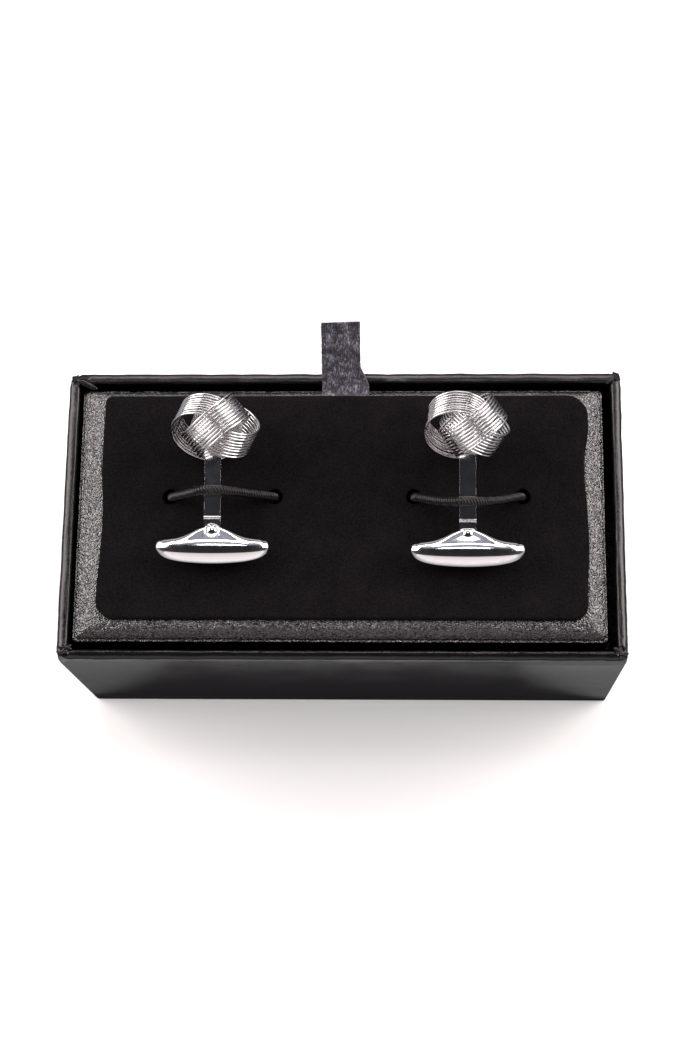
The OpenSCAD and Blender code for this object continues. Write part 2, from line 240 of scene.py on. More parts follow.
# The ribbon's middle seen along x: places (y, z)
RIBBON_ROUTE = [
    (14.2, 37.24), (17.9, 37.24), (19, 37.5), (20.4, 38.3), (22.4, 39.9), (24.8, 41.9), (27, 43.7)]
RIBBON_STEPS = 8
RIBBON_THICK = 0.42
# How far its edges lie inside the solid's
RIBBON_IN = 0.04
# How much narrower it gets, from a place along y and over a distance
RIBBON_NARROWS = 1.3
NARROW_FROM = 19.3
NARROW_OVER = 3
# How far it falls short of its route, how much its slanted end adds, and how much more at the right
END_SHORT = 0.12
END_SLANT = (0.42, 0.12)
# Heights of its long and its short waves, and the place along y where they start
RIBBON_WAVES = (0.12, 0.08)
WAVES_FROM = 19
# How far its edges wander together
EDGE_WANDER = 0.06
# Loose fibres along both edges and along the cut end, with their length and radius
EDGE_FIBRES = 260
END_FIBRES = 160
RIBBON_FIBRE = (0.3, 0.022)


# Small tools for modelling

def clamp(share):
    return min(max(share, 0), 1)


def ease(share):
    """A share between 0 and 1 that starts and stops softly."""
    share = clamp(share)
    return share * share * (3 - 2 * share)


def deselect_all():
    if bpy.context.object and bpy.context.object.mode != "OBJECT":
        bpy.ops.object.mode_set(mode="OBJECT")
    bpy.ops.object.select_all(action="DESELECT")


def choose(piece):
    """Makes a piece the only selected one and the active one."""
    deselect_all()
    bpy.context.view_layer.objects.active = piece
    piece.select_set(True)


def added(name):
    """Names the primitive that was just added and sets its place into its mesh."""
    made = bpy.context.object
    made.name = made.data.name = name
    bpy.ops.object.transform_apply(location=True, rotation=True, scale=True)
    return made


def pick(piece, kind, test):
    """Selects those faces or edges of a piece, in edit mode, that pass a test."""
    if bpy.context.object is not piece or piece.mode != "EDIT":
        choose(piece)
        bpy.ops.object.mode_set(mode="EDIT")
    bpy.ops.mesh.select_mode(type={"faces": "FACE", "edges": "EDGE"}[kind])
    bpy.ops.mesh.select_all(action="DESELECT")
    shape = bmesh.from_edit_mesh(piece.data)
    shape.normal_update()
    for part in getattr(shape, kind):
        part.select_set(bool(test(part)))
    bmesh.update_edit_mesh(piece.data)


def between_up_and_side(edge, up=1):
    """True for an edge where a level face meets an upright one."""
    slopes = [f.normal.z for f in edge.link_faces]
    return any(z * up > 0.9 for z in slopes) and any(abs(z) < 0.3 for z in slopes)


def upright(edge):
    """True for an edge along Z."""
    first, second = (v.co for v in edge.verts)
    return abs(first.z - second.z) > 0.5 * MM and (first.xy - second.xy).length < 0.01 * MM


def cut_at(place, normal):
    """Cuts the piece in edit mode along a plane, and keeps both sides."""
    bpy.ops.mesh.select_all(action="SELECT")
    bpy.ops.mesh.bisect(plane_co=place, plane_no=normal)


def modify(piece, kind, **settings):
    """Adds a modifier to a piece and applies it."""
    choose(piece)
    made = piece.modifiers.new(kind.title(), kind)
    for name, value in settings.items():
        setattr(made, name, value)
    bpy.ops.object.modifier_apply(modifier=made.name)


def join(pieces, name):
    choose(pieces[0])
    for piece in pieces[1:]:
        piece.select_set(True)
    bpy.ops.object.join()
    pieces[0].name = pieces[0].data.name = name
    return pieces[0]


def carve(piece, cutter, operation="DIFFERENCE"):
    """Cuts a solid out of a piece, or unites the two, and removes the solid."""
    modify(piece, "BOOLEAN", object=cutter, operation=operation, solver="EXACT")
    bpy.data.objects.remove(cutter)


def cube(name, low, high):
    """A box between two corners in millimetres."""
    low = Vector(low) * MM
    high = Vector(high) * MM
    deselect_all()
    bpy.ops.mesh.primitive_cube_add(size=1, location=(low + high) / 2)
    bpy.context.object.scale = high - low
    return added(name)


def cylinder(name, radius, low, high, vertices=48):
    """A cylinder between two points in millimetres."""
    low = Vector(low) * MM
    high = Vector(high) * MM
    deselect_all()
    bpy.ops.mesh.primitive_cylinder_add(
        vertices=vertices, radius=radius * MM, depth=(high - low).length, location=(low + high) / 2)
    bpy.context.object.rotation_euler = (high - low).to_track_quat("Z", "Y").to_euler()
    return added(name)


def finish(piece, body, slot, material, *nodes):
    """Gives a finished piece its body and its material, and hides the CAD nodes that it stands for."""
    deselect_all()
    piece.data.materials.clear()
    piece.data.materials.append(material)
    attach(piece, body)
    if nodes:
        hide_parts(*nodes)


def smooth(piece, angle=None):
    """Shades a piece smooth, or only where its faces meet at less than an angle in degrees."""
    choose(piece)
    if angle is None:
        bpy.ops.object.shade_smooth()
    else:
        bpy.ops.object.shade_smooth_by_angle(angle=math.radians(angle))


def smooth_curve(points, steps, closed=False):
    """Points of a Catmull-Rom curve through the given points."""
    points = [Vector(p) for p in points]
    count = len(points)
    spans = count if closed else count - 1
    made = []
    for i in range(spans):
        near = ((i + k) % count if closed else min(max(i + k, 0), count - 1) for k in (-1, 0, 1, 2))
        a, b, c, d = (points[k] for k in near)
        for k in range(steps):
            t = k / steps
            made.append(0.5 * (2 * b + (c - a) * t + (2 * a - 5 * b + 4 * c - d) * t ** 2
                               + (3 * b - a - 3 * c + d) * t ** 3))
    if not closed:
        made.append(points[-1])
    return made


def read_off(rows, at):
    """Value of a table of (place, value) rows at a place, on a smooth curve through them."""
    for k, ((x0, y0), (x1, y1)) in enumerate(zip(rows, rows[1:])):
        if at <= x1:
            before = rows[k - 1] if k else (x0 - (x1 - x0), y1)
            after = rows[k + 2] if k + 2 < len(rows) else (x1 + (x1 - x0), y1 + (y1 - y0))
            rate0 = (y1 - before[1]) / (x1 - before[0])
            rate1 = (after[1] - y0) / (after[0] - x0)
            t = (at - x0) / (x1 - x0)
            span = x1 - x0
            return ((2 * t ** 3 - 3 * t ** 2 + 1) * y0 + (t ** 3 - 2 * t ** 2 + t) * span * rate0
                    + (3 * t ** 2 - 2 * t ** 3) * y1 + (t ** 3 - t ** 2) * span * rate1)
    return rows[-1][1]


# Materials. Texture scales are in patches per metre, in each piece's own space

def linear(code):
    """Linear colour from an sRGB hex value."""
    channels = [int(code[i:i + 2], 16) / 255 for i in (1, 3, 5)]
    return [c / 12.92 if c <= 0.04045 else ((c + 0.055) / 1.055) ** 2.4 for c in channels] + [1]


def add(tree, kind, values=None, links=None, **settings):
    """Adds a node, with its settings, socket values and links."""
    made = tree.nodes.new(kind)
    for name, value in settings.items():
        setattr(made, name, value)
    for socket, value in (values or {}).items():
        made.inputs[socket].default_value = value
    for socket, source in (links or {}).items():
        tree.links.new(source, made.inputs[socket])
    return made


def speckle(tree, place, scale, detail, **values):
    """Value of a noise texture."""
    values = {"Scale": scale, "Detail": detail, **values}
    return add(tree, "ShaderNodeTexNoise", values, {"Vector": place}).outputs["Fac"]


def blend(tree, share, first, second):
    """A value between two others."""
    return add(tree, "ShaderNodeMix", {"Factor": share}, {2: first, 3: second}).outputs[0]


def ramp(tree, factor, *stops):
    """A colour ramp through (position, colour) stops, from the lowest to the highest. A colour is linear
    or an sRGB hex value."""
    stops = [(at, linear(colour) if isinstance(colour, str) else colour) for at, colour in stops]
    made = add(tree, "ShaderNodeValToRGB", links={"Fac": factor})
    elements = made.color_ramp.elements
    for element, (position, colour) in zip(elements, (stops[0], stops[-1])):
        element.position = position
        element.color = colour
    for position, colour in stops[1:-1]:
        elements.new(position).color = colour
    return made.outputs["Color"]


def gloss(tree, factor, low, high, start=0.3):
    """Roughness between two values that follows a noise."""
    values = {"From Min": start, "From Max": 0.7, "To Min": low, "To Max": high}
    return add(tree, "ShaderNodeMapRange", values, {"Value": factor}).outputs[0]


def bump(tree, height, strength, distance):
    """Normals bent by a height, over a distance in metres."""
    values = {"Strength": strength, "Distance": distance}
    return add(tree, "ShaderNodeBump", values, {"Height": height}).outputs[0]


def new_material(name, dress):
    """A material dressed by a function of its node tree and its places, which returns the links and the
    values of its shader's sockets."""
    made = bpy.data.materials.new(name)
    made.use_nodes = True
    tree = made.node_tree
    place = add(tree, "ShaderNodeTexCoord").outputs["Object"]
    links, values = dress(tree, place)
    shader = tree.nodes["Principled BSDF"]
    for socket, source in links.items():
        tree.links.new(source, shader.inputs[socket])
    for socket, value in values.items():
        shader.inputs[socket].default_value = value
    return made


def pvc_leatherette(tree, place):
    """Embossed PVC leatherette: a pebbled black skin with a low plastic sheen."""
    # Pebbles 0.26 mm across, bent by a slower noise so that no rows show
    drift = add(tree, "ShaderNodeTexNoise", {"Scale": 900, "Detail": 2}, {"Vector": place})
    shift = add(tree, "ShaderNodeVectorMath", {1: (0.0003,) * 3}, {0: drift.outputs["Color"]},
                operation="MULTIPLY")
    bent = add(tree, "ShaderNodeVectorMath", links={0: place, 1: shift.outputs[0]}, operation="ADD")
    pebble = add(tree, "ShaderNodeTexVoronoi", {"Scale": 3850, "Smoothness": 0.3},
                 {"Vector": bent.outputs[0]}, feature="SMOOTH_F1")
    creases = speckle(tree, place, 1300, 4, Roughness=0.65)
    rise = add(tree, "ShaderNodeMath", {1: -1}, {0: pebble.outputs["Distance"]}, operation="MULTIPLY")
    height = add(tree, "ShaderNodeMath", links={0: rise.outputs[0], 1: creases}, operation="ADD")
    links = {"Base Color": ramp(tree, creases, (0, "#0a090a"), (1, "#161417")),
             "Roughness": gloss(tree, creases, 0.18, 0.3),
             "Normal": bump(tree, height.outputs[0], 1, 0.00013)}
    return links, {"IOR": 1.66, "Specular IOR Level": 1}


def stretched_leatherette(tree, place):
    """The same skin pulled tight over the walls and round the rim: its grain is pressed almost flat,
    so that its gloss is deeper and more even."""
    grain = speckle(tree, place, 2600, 4, Roughness=0.6)
    slow = speckle(tree, place, 160, 3)
    links = {"Base Color": ramp(tree, grain, (0, "#0b090a"), (1, "#181518")),
             "Roughness": gloss(tree, slow, 0.18, 0.27),
             "Normal": bump(tree, grain, 0.6, 0.00006)}
    return links, {"IOR": 1.47}


def nylon_velvet(tree, place):
    """Flocked nylon velvet: short dense pile, almost black, with a faint grey bloom at grazing view."""
    pile = speckle(tree, place, 3600, 3, Roughness=0.7)
    brushed = speckle(tree, place, 260, 4, Roughness=0.55)
    tone = ramp(tree, blend(tree, 0.22, pile, brushed), (0.36, "#050405"), (0.68, "#1a181b"))
    values = {"Roughness": 1, "Specular IOR Level": 0.1, "Sheen Weight": 0.07, "Sheen Roughness": 0.45,
              "Sheen Tint": linear("#4c484c")}
    return {"Base Color": tone, "Normal": bump(tree, pile, 0.5, 0.00006)}, values


def crushed_velour(tree, place):
    """Crushed velour ribbon: dark pile laid over in streaks, with painted blue-grey glints: the pale
    streaks of its base colour stand in for light caught by the pile.
    """
    # Tufts 0.2 mm wide and three times as long, up the ribbon
    stretched = add(tree, "ShaderNodeMapping", {"Scale": (1, 0.35, 0.35)}, {"Vector": place}).outputs[0]
    tufts = speckle(tree, stretched, 5200, 4, Roughness=0.75, Distortion=0.6)
    patches = speckle(tree, place, 700, 3)
    # Base colour runs from near black to near white along the tufts: the pale end is painted glint, light
    # caught by the laid pile, not the pile's own colour
    tone = ramp(tree, blend(tree, 0.35, tufts, patches),
                (0.38, "#121217"), (0.5, "#3a3943"), (0.6, "#8e8d9c"), (0.68, "#dcdcf0"))
    values = {"Roughness": 0.62, "Sheen Weight": 0.35, "Sheen Roughness": 0.35,
              "Sheen Tint": linear("#8f90a8")}
    return {"Base Color": tone, "Normal": bump(tree, tufts, 0.9, 0.00012)}, values


def wound_yarn(tree, place):
    """Polyester yarn wound on an elastic: brown-black, with a glint on each turn."""
    fibres = speckle(tree, place, 6500, 3, Roughness=0.7)
    links = {"Base Color": ramp(tree, fibres, (0.3, "#060505"), (0.7, "#171513")),
             "Normal": bump(tree, fibres, 0.5, 0.00004)}
    return links, {"Roughness": 0.3}


def rhodium(colour, low, high, ripple):
    """Polished rhodium-coloured plating: mirror bright, with faint ripples and wiping marks."""
    def dress(tree, place):
        wiping = speckle(tree, place, 900, 4, Roughness=0.6)
        waves = speckle(tree, place, 520, 1)
        links = {"Roughness": gloss(tree, wiping, low, high, 0.35),
                 "Normal": bump(tree, waves, ripple, 0.00005)}
        return links, {"Base Color": linear(colour), "Metallic": 1}
    return dress


def matt_white_board(tree, place):
    """White board on a light table, with a little glow from below."""
    return {}, {"Base Color": linear("#f6f6f7"), "Roughness": 0.9,
                "Emission Color": linear("#ffffff"), "Emission Strength": 0.31}


LEATHERETTE = new_material("pvc_leatherette", pvc_leatherette)
STRETCHED = new_material("stretched_leatherette", stretched_leatherette)
VELVET = new_material("nylon_velvet", nylon_velvet)
VELOUR = new_material("crushed_velour", crushed_velour)
YARN = new_material("wound_yarn", wound_yarn)
PLATE = new_material("rhodium_plate", rhodium("#e9e7e8", 0.1, 0.17, 0.04))
WIRE_PLATE = new_material("rhodium_plated_wire", rhodium("#dddbdc", 0.07, 0.13, 0.03))


# The covered box

def cut_across(piece, half_x, half_y):
    """Cuts a piece across in steps, closer together near its corners, so that its skin can wrinkle."""
    pick(piece, "faces", lambda f: True)
    for normal, half in (((1, 0, 0), half_x), ((0, 1, 0), half_y)):
        at = -half + CUT_FROM
        while at < half:
            cut_at(Vector(normal) * at * MM, normal)
            at += CUT_FINE if half - abs(at) < CORNER_REACH else CUT_COARSE
    deselect_all()


def wrinkle(piece, folds, above, wave, seed):
    """Raises or sinks the skin along folds, and makes it a little uneven, above a height in millimetres."""
    piece.data.update()
    normals = [v.normal.copy() for v in piece.data.vertices]
    for vertex, normal in zip(piece.data.vertices, normals):
        at = vertex.co / MM
        if at.z < above:
            continue
        fade = min(1, (at.z - above) / WRINKLE_OVER)
        # Waves about 3 mm long, with weaker ones of 1 mm
        lift = wave * noise.noise(at * 0.35 + Vector((seed, 0, 0)))
        lift += 0.45 * wave * noise.noise(at * 1.1 + Vector((0, seed, 0)))
        for start, end, half_width, height in folds:
            start, end = Vector(start), Vector(end)
            along = end - start
            t = (at - start).dot(along) / along.length_squared
            reach = (at - start - along * clamp(t)).length / half_width
            # A fold is full in its middle and thin at its ends
            taper = math.sin(math.pi * clamp(0.12 + 0.76 * t))
            lift += height * taper * math.exp(-reach * reach)
        vertex.co += normal * lift * fade * MM


def blunt_corners(tray, high):
    """Pulls the rim's corners in to their own radius, fading out down the walls."""
    for vertex in tray.data.vertices:
        at = vertex.co / MM
        share = clamp((at.z - CORNER_FROM) / CORNER_OVER)
        for side_x, side_y, top in RIM_CORNERS:
            radius = TRAY_CORNER + (top - TRAY_CORNER) * share * share
            past = Vector((at.x * side_x - (high.x - radius), at.y * side_y - (high.y - radius)))
            if min(past) > 0 and past.length > radius:
                past *= radius / past.length
                vertex.co.x = side_x * (high.x - radius + past.x) * MM
                vertex.co.y = side_y * (high.y - radius + past.y) * MM


def lean_out(tray, high):
    """Leans the walls' outer faces, and the front wall's inner face, out towards the rim."""
    for vertex in tray.data.vertices:
        share = vertex.co.z / MM / high.z
        left, right, front, back = (out * MM * share for out in RIM_OUT)
        if abs(vertex.co.x) > (high.x - WALL / 2) * MM:
            vertex.co.x += right if vertex.co.x > 0 else -left
        if abs(vertex.co.y) > (high.y - WALL / 2) * MM:
            vertex.co.y += back if vertex.co.y > 0 else -front
        elif vertex.co.y < (WALL - high.y + 1) * MM:
            vertex.co.y -= front


def pleat(outer, inner, half_width, height, top):
    """A pleat that lies across the rim's corner, full in the middle and thin at its ends."""
    way = Vector(inner) - Vector(outer)
    middle = (Vector(inner) + Vector(outer)) / 2
    deselect_all()
    bpy.ops.mesh.primitive_uv_sphere_add(
        segments=32, ring_count=24, radius=1 * MM,
        location=(middle.x * MM, middle.y * MM, (top - PLEAT_SUNK) * MM),
        rotation=(0, 0, math.atan2(way.y, way.x)))
    bpy.context.object.scale = (way.length / 2, half_width, height)
    made = added("pleat")
    smooth(made)
    return made


def covered_tray():
    """The outer box: board in a leatherette cover that wraps the rim and is tucked in at its corners."""
    low, high = (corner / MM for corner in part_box("tray"))

    def at_rim(edge):
        return between_up_and_side(edge) and edge.verts[0].co.z > (high.z - 1) * MM

    def inside(edge):
        return all(abs(v.co.x) < (high.x - 1) * MM and abs(v.co.y) < (high.y - 1) * MM
                   for v in edge.verts)

    tray = cube("covered_tray", low, high)
    pick(tray, "faces", lambda f: f.normal.z > 0.9)
    bpy.ops.mesh.inset(thickness=WALL * MM)
    bpy.ops.mesh.extrude_region_move(TRANSFORM_OT_translate={"value": (0, 0, (FLOOR - high.z) * MM)})
    pick(tray, "edges", lambda e: upright(e) and not inside(e))
    bpy.ops.mesh.bevel(offset=TRAY_CORNER * MM, segments=6)
    pick(tray, "edges", lambda e: at_rim(e) and not inside(e))
    bpy.ops.mesh.bevel(offset=RIM_RADIUS * MM, segments=7)
    pick(tray, "edges", lambda e: at_rim(e) and inside(e))
    bpy.ops.mesh.bevel(offset=RIM_INNER_RADIUS * MM, segments=4)
    pick(tray, "edges", lambda e: between_up_and_side(e, -1))
    bpy.ops.mesh.bevel(offset=FOOT_RADIUS * MM, segments=3)
    cut_across(tray, high.x, high.y)
    pick(tray, "faces", lambda f: True)
    for at in TRAY_LEVELS:
        cut_at((0, 0, at * MM), (0, 0, 1))
    deselect_all()
    blunt_corners(tray, high)
    lean_out(tray, high)
    wrinkle(tray, RIM_FOLDS, above=33, wave=0.1, seed=3.1)
    smooth(tray, 50)
    tray = join([tray] + [pleat(*row, high.z) for row in PLEATS], "covered_tray")
    finish(tray, "box", "leatherette", STRETCHED, "tray")


def punch_holes(piece):
    """Cuts the elastics' holes through a piece."""
    for x, y in HOLES:
        carve(piece, cylinder("cutter", HOLE_RADIUS, (x, y, HOLE_CUT[0]), (x, y, HOLE_CUT[1])))


def covered_insert():
    """The inner tray, upside down, with a border that rounds over from the crease to the velvet."""
    low, high = (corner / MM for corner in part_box("insert"))
    left, right, front, back = BORDER
    low.x, high.x = low.x - BORDER_SWELL[0], high.x + BORDER_SWELL[1]
    low.y, high.y = low.y - BORDER_SWELL[2], high.y + BORDER_SWELL[3]
    insert = cube("covered_insert", low, (high.x, high.y, CREASE_Z))
    pick(insert, "faces", lambda f: f.normal.z > 0.9)
    # Each step draws the top in about the point that keeps the four slopes in proportion
    middle = Vector((right * low.x + left * high.x, back * low.y + front * high.y, 0))
    middle = Vector((middle.x / (left + right), middle.y / (front + back), 0))
    width, depth = high.x - low.x, high.y - low.y
    was_x, was_y, was_up = 0, 0, 0
    for share_x, share_y, share_up in BORDER_OUTLINE:
        bpy.ops.mesh.extrude_region_move(
            TRANSFORM_OT_translate={"value": (0, 0, (share_up - was_up) * (high.z - CREASE_Z) * MM)})
        bpy.ops.transform.resize(
            value=((width - share_x * (left + right)) / (width - was_x * (left + right)),
                   (depth - share_y * (front + back)) / (depth - was_y * (front + back)), 1),
            center_override=middle * MM)
        was_x, was_y, was_up = share_x, share_y, share_up

    def on_mitre(edge):
        first, second = (v.co.z / MM for v in edge.verts)
        return min(first, second) > CREASE_Z - 0.01 and abs(first - second) > 0.01

    pick(insert, "edges", on_mitre)
    bpy.ops.mesh.bevel(offset=MITRE_RADIUS * MM, segments=4)
    cut_across(insert, high.x, high.y)
    wrinkle(insert, BORDER_FOLDS, above=CREASE_Z - 0.4, wave=0.14, seed=7.7)
    punch_holes(insert)
    smooth(insert, 50)
    finish(insert, "box", "leatherette", LEATHERETTE, "insert")


def fuzz(name, places, length, thick, seed):
    """Many fine fibres, each a thin three-sided cone from half to 1.2 times a length in millimetres.
    A place is (foot, direction), in millimetres."""
    draw = random.Random(seed)
    deselect_all()
    bpy.ops.mesh.primitive_cone_add(vertices=3, radius1=thick * MM, radius2=0, depth=1 * MM)
    pattern = added(name)
    corners = [v.co.copy() for v in pattern.data.vertices]
    shapes = [tuple(p.vertices) for p in pattern.data.polygons]
    points, faces = [], []
    for foot, direction in places:
        reach = length * draw.uniform(0.5, 1.2)
        turn = Vector(direction).to_track_quat("Z", "Y").to_matrix()
        start = len(points)
        for corner in corners:
            stretched = Vector((corner.x, corner.y, (corner.z + 0.5 * MM) * reach))
            points.append(Vector(foot) * MM + turn @ stretched)
        faces += [tuple(start + i for i in shape) for shape in shapes]
    fibres = bpy.data.meshes.new(name)
    fibres.from_pydata(points, [], faces)
    pattern.data = fibres
    return pattern


def velvet_pad():
    """The thin pad: velvet turned over a card, with soft edges, cut corners and four punched holes."""
    low, high = (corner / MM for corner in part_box("velvet_pad"))
    low.y, high.y = low.y + CARD_BACK, high.y + CARD_BACK - PAD_SHORT
    pad = cube("velvet_cover", low, high)
    for side_x, side_y, length in PAD_CORNERS:
        pick(pad, "edges", lambda e: upright(e) and e.verts[0].co.x * side_x > 0.03
             and e.verts[0].co.y * side_y > 0.014)
        bpy.ops.mesh.bevel(offset=length * MM, segments=5, profile=0.42)
    pick(pad, "edges", between_up_and_side)
    bpy.ops.mesh.bevel(offset=PAD_EDGE_RADIUS * MM, segments=5)
    pick(pad, "faces", lambda f: f.normal.z > 0.99)
    bpy.ops.mesh.inset(thickness=PAD_TURN * MM)
    for x, _ in HOLES:
        for at in (x - HOLE_STRIP, x + HOLE_STRIP):
            cut_at((at * MM, 0, 0), (1, 0, 0))
    first, step, count = PAD_CUTS
    for k in range(count):
        cut_at((0, (first + step * k) * MM, 0), (0, 1, 0))
    deselect_all()
    punch_holes(pad)
    left, right = (corner.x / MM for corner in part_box("ribbon_tab"))
    notch_low = (left - NOTCH_ROOM, RIBBON_ROUTE[0][0] - NOTCH_ROOM, 30)
    carve(pad, cube("cutter", notch_low, (right + NOTCH_ROOM, 30, NOTCH_TOP)))
    for vertex in pad.data.vertices:
        side = "left" if vertex.co.x < 0 else "right"
        share = clamp((abs(vertex.co.x) / MM - EDGE_FROM) / EDGE_OVER)
        vertex.co.x += SIDES[side] * share * read_off(PAD_EDGES[side], vertex.co.y / MM) * MM
    smooth(pad, 50)
    finish(pad, "box", "velvet", VELVET, "velvet_pad")
    draw = random.Random(11)
    places = []
    for x, y in HOLES:
        for _ in range(HOLE_FIBRES):
            angle = draw.uniform(0, 2 * math.pi)
            out = Vector((math.cos(angle), math.sin(angle), 0))
            lean = out * draw.uniform(-1.2, 0.9)
            lean += Vector((draw.uniform(-0.4, 0.4), draw.uniform(-0.4, 0.4), 0.7))
            foot = Vector((x, y, high.z - 0.04)) + out * (HOLE_RADIUS + draw.uniform(0, 0.14))
            places.append((foot, lean))
    fibres = fuzz("hole_fuzz", places, *HOLE_FIBRE, 5)
    finish(fibres, "box", "velvet", VELVET)


def even_places(route):
    """Points at even distances along a closed route, and how many turns the strands make on it."""
    count = len(route)
    lengths = [0]
    for i in range(count):
        lengths.append(lengths[-1] + (route[(i + 1) % count] - route[i]).length)
    total = lengths[-1]
    turns = round(total / (STRANDS * YARN_PITCH * MM))
    places, j = [], 0
    for k in range(TURN_POINTS * turns):
        want = total * k / (TURN_POINTS * turns)
        while lengths[j + 1] < want:
            j += 1
        t = (want - lengths[j]) / (lengths[j + 1] - lengths[j])
        places.append(route[j].lerp(route[(j + 1) % count], t))
    return places, turns


def elastic(side):
    """A covered elastic: a rubber core with four strands of yarn wound round it side by side."""
    route = smooth_curve([Vector(p) * MM for p in ELASTICS[side]], 24, closed=True)
    centres, turns = even_places(route)
    samples = len(centres)
    curve = bpy.data.curves.new("wound_elastic_" + side, "CURVE")
    curve.dimensions = "3D"
    curve.bevel_depth = YARN_RADIUS * MM
    curve.bevel_resolution = 1
    winding = [curve.splines.new("POLY") for _ in range(STRANDS)]
    core = curve.splines.new("POLY")
    for spline in winding + [core]:
        spline.points.add(samples - 1)
        spline.use_cyclic_u = True
    for k in range(samples):
        along = (centres[(k + 1) % samples] - centres[k - 1]).normalized()
        outward = Vector((0, 1, 0)).cross(along).normalized()
        across = along.cross(outward)
        # The yarn swells and thins a little along the elastic
        swell = 0.02 * noise.noise(centres[k] * 900)
        core.points[k].co = (*centres[k], 1)
        core.points[k].radius = CORE_SHARE
        for strand, spline in enumerate(winding):
            angle = 2 * math.pi * (turns * k / samples + strand / STRANDS)
            radius = (ELASTIC_RADIUS - YARN_SUNK + swell) * MM
            place = centres[k] + radius * (math.cos(angle) * outward + math.sin(angle) * across)
            spline.points[k].co = (*place, 1)
    piece = bpy.data.objects.new(curve.name, curve)
    bpy.context.collection.objects.link(piece)
    choose(piece)
    bpy.ops.object.convert(target="MESH")
    piece = bpy.context.object
    smooth(piece)
    finish(piece, "box", "elastic_braid", YARN, "elastic_" + side)


def ribbon():
    """The tab: a short length of crushed velour ribbon, cut a little slanted, with frayed edges."""
    low, high = (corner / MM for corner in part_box("ribbon_tab"))
    route = smooth_curve([(0, y, z) for y, z in RIBBON_ROUTE], RIBBON_STEPS)
    along = len(route) - 1
    deselect_all()
    bpy.ops.mesh.primitive_grid_add(x_subdivisions=28, y_subdivisions=along, size=1)
    tab = added("velour_tab")
    for vertex in tab.data.vertices:
        u = vertex.co.x + 0.5
        v = vertex.co.y + 0.5
        step = min(int(round(v * along)), along)
        centre = route[step]
        rise = (route[min(step + 1, along)] - route[max(step - 1, 0)]).normalized()
        outward = Vector((0, -rise.z, rise.y))
        right = high.x - RIBBON_NARROWS * ease((centre.y - NARROW_FROM) / NARROW_OVER)
        x = low.x + RIBBON_IN + (right - low.x - 2 * RIBBON_IN) * u
        # The slant takes up the last fifth of the ribbon
        slant = (END_SLANT[0] + END_SLANT[1] * u) * max(0, v - 0.8) / 0.2
        wave = RIBBON_WAVES[0] * math.sin(u * 5.2 + 0.6) * v
        wave += RIBBON_WAVES[1] * noise.noise(Vector((x * 0.9, centre.y * 0.7, 4)))
        wander = EDGE_WANDER * noise.noise(Vector((0, centre.y * 3, 9)))
        vertex.co = Vector((x + wander, centre.y, centre.z)) * MM
        lift = wave * (1 if centre.y > WAVES_FROM else 0) - RIBBON_THICK / 2
        vertex.co += (outward * lift + rise * (slant - END_SHORT)) * MM
    modify(tab, "SOLIDIFY", thickness=RIBBON_THICK * MM, offset=-1)
    pick(tab, "faces", lambda f: True)
    bpy.ops.mesh.normals_make_consistent(inside=False)
    pick(tab, "edges", lambda e: len(e.link_faces) == 2 and e.calc_face_angle(0) > 1)
    bpy.ops.mesh.bevel(offset=0.1 * MM, segments=2)
    deselect_all()
    smooth(tab, 60)
    finish(tab, "box", "crushed_velour", VELOUR, "ribbon_tab")
    draw = random.Random(23)
    places = []
    # Along both edges the fibres start where the ribbon leaves the pad
    for _ in range(EDGE_FIBRES):
        centre = route[draw.randint(3 * RIBBON_STEPS, along)]
        edge = draw.choice((-1, -1, 1))
        narrower = RIBBON_NARROWS * clamp((centre.y - NARROW_FROM) / NARROW_OVER)
        x = low.x + 0.06 if edge < 0 else high.x - 0.06 - narrower
        foot = Vector((x, centre.y + draw.uniform(-0.2, 0.2), centre.z + draw.uniform(-0.15, 0.15)))
        places.append((foot, Vector((edge, draw.uniform(-0.8, 0.8), draw.uniform(-0.2, 0.9)))))
    for _ in range(END_FIBRES):
        x = draw.uniform(low.x + 0.1, high.x - 1.4)
        foot = route[-1] + Vector((x, 0.2, 0.1 + 0.01 * x))
        places.append((foot, Vector((draw.uniform(-0.5, 0.5), 0.8, draw.uniform(0.3, 1)))))
    fibres = fuzz("velour_fray", places, *RIBBON_FIBRE, 8)
    finish(fibres, "box", "crushed_velour", VELOUR)


# The cufflinks

def link_frame(side):
    """Matrix from a cufflink's own frame, +Y along its post and +Z along its rivet, to the row frame."""
    joint = next(j for j in frame["joints"] if j["child"] == side + "_toggle")
    axis = Vector(joint["axis"]).normalized()
    across = Vector((1, 0, 0))
    turned = Matrix((across, axis.cross(across), axis)).transposed().to_4x4()
    return Matrix.Translation(joint["pos_m"]) @ turned


